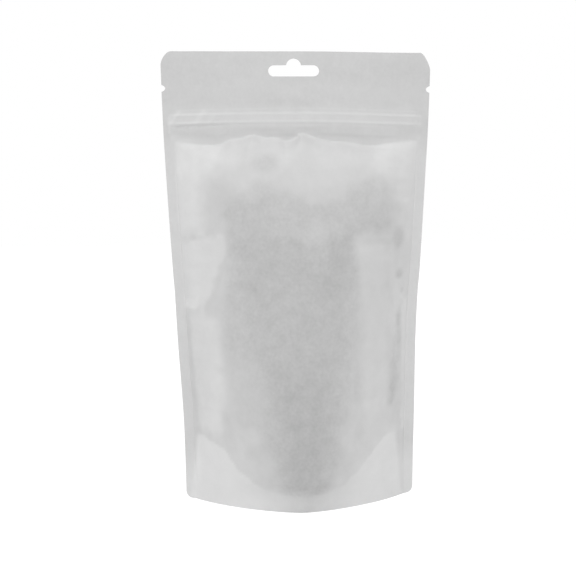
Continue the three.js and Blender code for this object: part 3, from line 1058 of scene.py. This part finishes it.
def polygon_inside(u, v, corners):
    """Distance inside any polygon in millimetres; outside it is negative."""
    nearest = np.full(u.shape, 1e9)
    odd = np.zeros(u.shape, bool)
    for (a_u, a_v), (b_u, b_v) in zip(corners, corners[1:] + corners[:1]):
        side_u, side_v = b_u - a_u, b_v - a_v
        along = np.clip(((u - a_u) * side_u + (v - a_v) * side_v) / (side_u**2 + side_v**2), 0, 1)
        nearest = np.minimum(nearest, np.hypot(u - a_u - along * side_u, v - a_v - along * side_v))
        if side_v:
            crosses = ((a_v > v) != (b_v > v)) & (u < a_u + (v - a_v) / side_v * side_u)
            odd ^= crosses
    return np.where(odd, nearest, -nearest)


def side_wander(u, v, side):
    """How far the sides of the areas wander, in millimetres."""
    return sum(WANDER * noise_field(u, v, size, seed * side) for size, seed in WANDER_WAVES)


def free_shade(u, v, side, wander):
    """Shade of the panel between the seals, from its areas and spots, with painted light just above
    the U seal.
    """
    areas, marks = (FRONT_AREAS, FRONT_SPOTS) if side < 0 else (BACK_AREAS, BACK_SPOTS)
    shade = np.zeros(u.shape)
    for _, corners, softness, amount in areas:
        shade += amount * soft_side(polygon_inside(u, v, corners) + wander, 2 * softness)
    for at_u, at_v, reach_u, reach_v, amount in marks:
        away = np.hypot((u - at_u) / reach_u, (v - at_v) / reach_v)
        shade += amount * ease(SPOT_FADE - away)
    # Painted light just above the U seal.
    return shade + SEAL_RIM_PAINTED_LIGHT * hump(np.clip(v - seal_line(u), 0, None), SEAL_RIM_REACH)


belly_shade = free_shade(np.array([0.0]), np.array([BELLY]), -1, 0.0)[0]
print("shade in the middle of the belly:", round(float(belly_shade), 2))

# %% Shade of the side seals and the skirt
# The side seals are painted lighter, where less of the top light reaches them lower down.
FIN_PAINTED_LIGHT = -0.24
FIN_PATCH_SHADE = 0.14
FIN_PATCH_HEIGHT = 35.0
FIN_PATCH_REACH = 5.0
# Painted light that lightens the shade in the crease just inside the foot of each side seal.
FIN_CREASE_PAINTED_LIGHT = -0.26
FIN_CREASE = 71.0
FIN_CREASE_WIDTH = 2.2
FIN_CREASE_HEIGHT = 31.0
FIN_CREASE_REACH = 13.0
SEALED_CORNER_SHADE = -0.88
SEALED_EDGE = 67.5
SEALED_LEAN = 0.2
SEALED_SHIFT = 3.0
SEALED_SOFTNESS = 6.0
SEALED_FIN_SHARE = 0.5
SEALED_FIN_TOP = 30.0
SEALED_FIN_FADE = 18.0
SKIRT_SHADE = 0.12
SKIRT_REACH = 22.0
SKIRT_MIDDLE = 2.0


def fin_light_and_patch(v):
    """Shade of a side seal: painted lighter where less top light reaches it, and a little darker in
    a patch near the gusset's fold.
    """
    return FIN_PAINTED_LIGHT + FIN_PATCH_SHADE * hump(v - FIN_PATCH_HEIGHT, FIN_PATCH_REACH)


def fin_crease_painted_light(u, v):
    """Painted light along the crease just inside the foot of each side seal, where shade falls."""
    crease = hump(abs(u) - FIN_CREASE, FIN_CREASE_WIDTH)
    return FIN_CREASE_PAINTED_LIGHT * (crease * hump(v - FIN_CREASE_HEIGHT, FIN_CREASE_REACH))


def skirt_shade(u, v, fin):
    """Shade below the U seal: light in the sealed corners, darker in the middle of the skirt."""
    inward = SEALED_EDGE + SEALED_LEAN * (GUSSET_RISE - v) - abs(u + SEALED_SHIFT)
    inner = soft_side(inward, SEALED_SOFTNESS)
    inner = np.maximum(inner, SEALED_FIN_SHARE * ease((SEALED_FIN_TOP - v) / SEALED_FIN_FADE))
    middle = hump(u - SKIRT_MIDDLE, SKIRT_REACH)
    sealed = SEALED_CORNER_SHADE + (SKIRT_SHADE - SEALED_CORNER_SHADE) * middle
    return sealed * inner + fin * (1 - inner)


print("shade of a side seal in its patch:", round(float(fin_light_and_patch(FIN_PATCH_HEIGHT)), 2))

# %% Shade of the header and the zip
HEADER_SHADE = 0.09
HEADER_FADE = 4.0
HEADER_BAND_SHADE = 0.12
HEADER_BAND_HEIGHT = 258.0
HEADER_BAND_REACH = 8.0
HEADER_BAND_LEFT = 0.8
HEADER_BAND_GAIN = 0.4
# A painted shadow just above the middle of the zip.
HEADER_PAINTED_SHADOW = (-6.0, 240.0, 30.0, 5.0, 0.18)  # across, up, reach across, reach up, darker by
TAPE_END = (48.0, 20.0, 226.0, 7.0, 0.12)  # start across, fade across, up, reach up, darker by
ZIP_SHADE = -0.12
ZIP_HALF_HEIGHT = 4.2
ZIP_FADE = 1.2
ZIP_END = 3.0
ZIP_END_FADE = 2.0
# Painted highlight just beyond each ridge of the zip.
ZIP_RIDGE_PAINTED_HIGHLIGHT = -0.22
ZIP_LINE_SHIFT = 0.6
ZIP_LINE_WIDTH = 0.8
TAPE_SHADE = 0.07
TAPE_SHADE_FOOT = 2.0
TAPE_SHADE_TOP = 4.0
TAPE_SHADE_FADE = 1.5
# Painted light along the tape's lower edge, against the shade in the crease at the top of the
# swell.
TAPE_EDGE_PAINTED_LIGHT = -0.24
TAPE_EDGE_RISE = 1.6
TAPE_EDGE_WIDTH = 2.4
# Painted light on the crimps' ridges and painted shade in their grooves.
CRIMP_PAINTED_LIGHT_AND_SHADE = -0.9


def header_shade(u, v, side):
    """Shade above the zip, with a band across it and, in front, a painted shadow just above the
    zip's middle and the tape's end.
    """
    shade = HEADER_SHADE * ease((v - TAPE_TOP) / HEADER_FADE)
    band = hump(v - HEADER_BAND_HEIGHT, HEADER_BAND_REACH)
    to_right = HEADER_BAND_LEFT + HEADER_BAND_GAIN * ease(u / HALF + 0.5)
    shade = shade + HEADER_BAND_SHADE * band * to_right
    if side < 0:
        # Painted shadow above the zip.
        at_u, at_v, reach_u, reach_v, amount = HEADER_PAINTED_SHADOW
        shade = shade + amount * hump(u - at_u, reach_u) * hump(v - at_v, reach_v)
        start_u, fade_u, at_v, reach_v, amount = TAPE_END
        shade = shade + amount * ease((u - start_u) / fade_u) * hump(v - at_v, reach_v)
    return shade


def zip_shade(u, v, below_edge):
    """Light zip with a painted highlight beyond each ridge, and the tape with painted light along
    its lower edge.
    """
    level = v - ZIP_MIDDLE
    across = ease((HALF_FREE + ZIP_END - abs(u)) / ZIP_END_FADE)
    profile = ease((ZIP_HALF_HEIGHT - abs(level)) / ZIP_FADE)
    beyond_ridge = abs(level) - RIDGE_SPACING / 2 - ZIP_LINE_SHIFT * np.sign(level)
    # Painted highlights beside the ridges.
    ridge_highlights = hump(beyond_ridge, ZIP_LINE_WIDTH)
    tape = TAPE_SHADE * ease((v - TAPE_FOOT - 1) / TAPE_SHADE_FOOT)
    tape = tape * ease((-level - TAPE_SHADE_TOP) / TAPE_SHADE_FADE)
    # Painted light at the tape's lower edge.
    tape = tape + TAPE_EDGE_PAINTED_LIGHT * hump(below_edge + TAPE_EDGE_RISE, TAPE_EDGE_WIDTH)
    return across * (ZIP_SHADE * profile + ZIP_RIDGE_PAINTED_HIGHLIGHT * ridge_highlights + tape)


print("shade of the header's band:", round(float(header_shade(0.0, HEADER_BAND_HEIGHT, -1)), 2))

# %% Shade of a whole panel
SEAL_SOFTNESS = 2.2
SEAL_WANDER_SHARE = 0.5
FIN_SOFTNESS = 0.8
FIN_TOP = TAPE_FOOT + 6
FIN_FADE = 20.0
TAPE_SOFTNESS = 2.6


def filling_and_light_shade(u, v, side):
    """How much darker each spot is: 1 with the filling pressed to it, under 0 for air, with painted
    light and shade added on seams, lips, zip and crimps.
    """
    wander = side_wander(u, v, side)
    below_edge = TAPE_FOOT + tape_line(-side * u) - v
    sealed = soft_side(seal_line(u) - v + SEAL_WANDER_SHARE * wander, SEAL_SOFTNESS)
    within = soft_side(HALF_FREE - abs(u), FIN_SOFTNESS)
    fin = fin_light_and_patch(v)
    panel = within * soft_side(below_edge, TAPE_SOFTNESS) * free_shade(u, v, side, wander)
    panel = panel + (1 - within) * ease((FIN_TOP - v) / FIN_FADE) * fin
    shade = panel * (1 - sealed) + skirt_shade(u, v, fin) * sealed
    shade = shade + fin_crease_painted_light(u, v) + header_shade(u, v, side)
    shade = shade + zip_shade(u, v, below_edge)
    if side < 0:
        # Painted light and shade on the crimps.
        shade = shade + CRIMP_PAINTED_LIGHT_AND_SHADE * sum(line_ridge(u, v, ridge) for ridge in ZIP_CRIMPS)
    return shade


waist_shade = filling_and_light_shade(np.array([0.0]), np.array([WAIST]), -1)[0]
print("shade at the waist:", round(float(waist_shade), 2))

# %% Store the shade on the pouch
WEB_SHADE = 0.50
WEB_END = 60.0
WEB_FADE = 30.0
WEB_DEPTH = 1.0


def store(name, values):
    """Keeps one number for each spot of the mesh."""
    attribute = pouch.data.attributes.new(name, "FLOAT", "POINT")
    attribute.data.foreach_set("value", values.astype(np.float32))


to_front = spots[:, 1] - panel_points(spot_u, spot_v, -1, FRONT_HOLLOWS)[:, 1]
to_back = panel_points(spot_u, spot_v, 1, BACK_HOLLOWS)[:, 1] - spots[:, 1]
shade = np.where(
    to_back < to_front, filling_and_light_shade(spot_u, spot_v, 1), filling_and_light_shade(spot_u, spot_v, -1)
)
in_web = (np.minimum(to_front, to_back) > WEB_DEPTH) & (spot_v < GUSSET_RISE + 1)
shade = np.where(in_web, WEB_SHADE * ease((WEB_END - abs(spot_u)) / WEB_FADE), shade)
# The stored shade holds the filling seen through the paper and the painted light and shade.
store("filling", shade)
print("shade, lowest and highest:", round(float(shade.min()), 2), round(float(shade.max()), 2))

# %% [markdown]
# ## Paper
#
# White kraft paper is matt, a little cloudy where its fibres lie thicker, and specked and lumpy
# where the filling is pressed against it. One node group makes clouds, specks and lumps out of
# three noises, and the height of the fibres out of a fourth.

# %% Fibre group
SHADE_WAVES = [
    # socket for its amount, size in millimetres, detail
    ("Cloud Amount", 8.0, 3.0),
    ("Speck Amount", 1.8, 1.0),
    ("Lump Amount", 5.5, 1.0),
]
FIBRE_SIZE = 0.35
FIBRE_DETAIL = 3.0
FIBRE_STRETCH = (0.4, 0.4, 1.0)


def noise_node(nodes, links, place, size, detail, stretch=(1, 1, 1)):
    """A noise with features of this size in millimetres, longer where stretch is under 1."""
    mapping = nodes.new("ShaderNodeMapping")
    mapping.inputs["Scale"].default_value = [x / (size * MM) for x in stretch]
    texture = nodes.new("ShaderNodeTexNoise")
    texture.inputs["Scale"].default_value = 1.0
    texture.inputs["Detail"].default_value = detail
    links.new(place, mapping.inputs["Vector"])
    links.new(mapping.outputs[0], texture.inputs["Vector"])
    return texture.outputs["Fac"]


def value_math(nodes, links, operation, a, b):
    """A maths node with sockets or numbers on its two inputs."""
    node = nodes.new("ShaderNodeMath")
    node.operation = operation
    for socket, item in zip(node.inputs, (a, b)):
        if hasattr(item, "is_output"):
            links.new(item, socket)
        else:
            socket.default_value = item
    return node.outputs[0]


def fibre_group():
    """Group: a shade that wavers about 0, and a fibre height for the bump."""
    group = bpy.data.node_groups.new("paper_fibres", "ShaderNodeTree")
    interface = group.interface
    for name, _, _ in SHADE_WAVES:
        interface.new_socket(name, in_out="INPUT", socket_type="NodeSocketFloat")
    for name in ("Shade", "Height"):
        interface.new_socket(name, in_out="OUTPUT", socket_type="NodeSocketFloat")
    nodes, links = group.nodes, group.links
    inside, outside = nodes.new("NodeGroupInput"), nodes.new("NodeGroupOutput")
    place = nodes.new("ShaderNodeTexCoord").outputs["Object"]
    total = 0.0
    for amount, size, detail in SHADE_WAVES:
        wave = noise_node(nodes, links, place, size, detail)
        wave = value_math(nodes, links, "SUBTRACT", wave, 0.5)
        part = value_math(nodes, links, "MULTIPLY", wave, inside.outputs[amount])
        total = value_math(nodes, links, "ADD", part, total)
    links.new(total, outside.inputs["Shade"])
    fibres = noise_node(nodes, links, place, FIBRE_SIZE, FIBRE_DETAIL, FIBRE_STRETCH)
    links.new(fibres, outside.inputs["Height"])
    return group


print("noises in the shade:", [name for name, _, _ in SHADE_WAVES])

# %% Paper material
PAPER_OPEN = (0.585, 0.585, 0.585, 1)
PAPER_FILLED = (0.44, 0.44, 0.44, 1)
PAPER_ROUGHNESS = 0.65
PAPER_SPECULAR = 0.3
OPEN_SPECKS = 0.15
PRESSED_LIMIT = 0.46
FILLED_SPECKS = 0.90
FILLED_LUMPS = 1.1
CLOUDS = 0.40
FIBRE_BUMP = 0.12
FIBRE_BUMP_HEIGHT = 0.00004


def paper_material():
    """Matt paper whose colour follows the stored shade: the filling seen through it, with painted
    light and shade.
    """
    material = bpy.data.materials.new("kraft_paper")
    material.use_nodes = True
    nodes, links = material.node_tree.nodes, material.node_tree.links
    shader = nodes["Principled BSDF"]
    shader.inputs["Roughness"].default_value = PAPER_ROUGHNESS
    shader.inputs["Specular IOR Level"].default_value = PAPER_SPECULAR
    filling = nodes.new("ShaderNodeAttribute")
    filling.attribute_name = "filling"
    fibres = nodes.new("ShaderNodeGroup")
    fibres.node_tree = fibre_group()
    pressed = value_math(nodes, links, "MAXIMUM", filling.outputs["Fac"], 0.0)
    pressed = value_math(nodes, links, "MINIMUM", pressed, PRESSED_LIMIT)
    specks = value_math(nodes, links, "MULTIPLY", pressed, FILLED_SPECKS)
    specks = value_math(nodes, links, "ADD", specks, OPEN_SPECKS)
    lumps = value_math(nodes, links, "MULTIPLY", pressed, FILLED_LUMPS)
    links.new(specks, fibres.inputs["Speck Amount"])
    links.new(lumps, fibres.inputs["Lump Amount"])
    fibres.inputs["Cloud Amount"].default_value = CLOUDS
    shade = value_math(nodes, links, "ADD", filling.outputs["Fac"], fibres.outputs["Shade"])
    mix = nodes.new("ShaderNodeMix")
    mix.data_type = "RGBA"
    mix.clamp_factor = False
    mix.inputs["A"].default_value = PAPER_OPEN
    mix.inputs["B"].default_value = PAPER_FILLED
    links.new(shade, mix.inputs["Factor"])
    links.new(mix.outputs["Result"], shader.inputs["Base Color"])
    bump = nodes.new("ShaderNodeBump")
    bump.inputs["Strength"].default_value = FIBRE_BUMP
    bump.inputs["Distance"].default_value = FIBRE_BUMP_HEIGHT
    links.new(fibres.outputs["Height"], bump.inputs["Height"])
    links.new(bump.outputs["Normal"], shader.inputs["Normal"])
    return material


pouch.data.materials.clear()
pouch.data.materials.append(paper_material())
print("materials:", [m.name for m in pouch.data.materials])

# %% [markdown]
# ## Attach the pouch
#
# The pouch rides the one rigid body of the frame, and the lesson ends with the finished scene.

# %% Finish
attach(pouch, "root")
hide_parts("pouch")
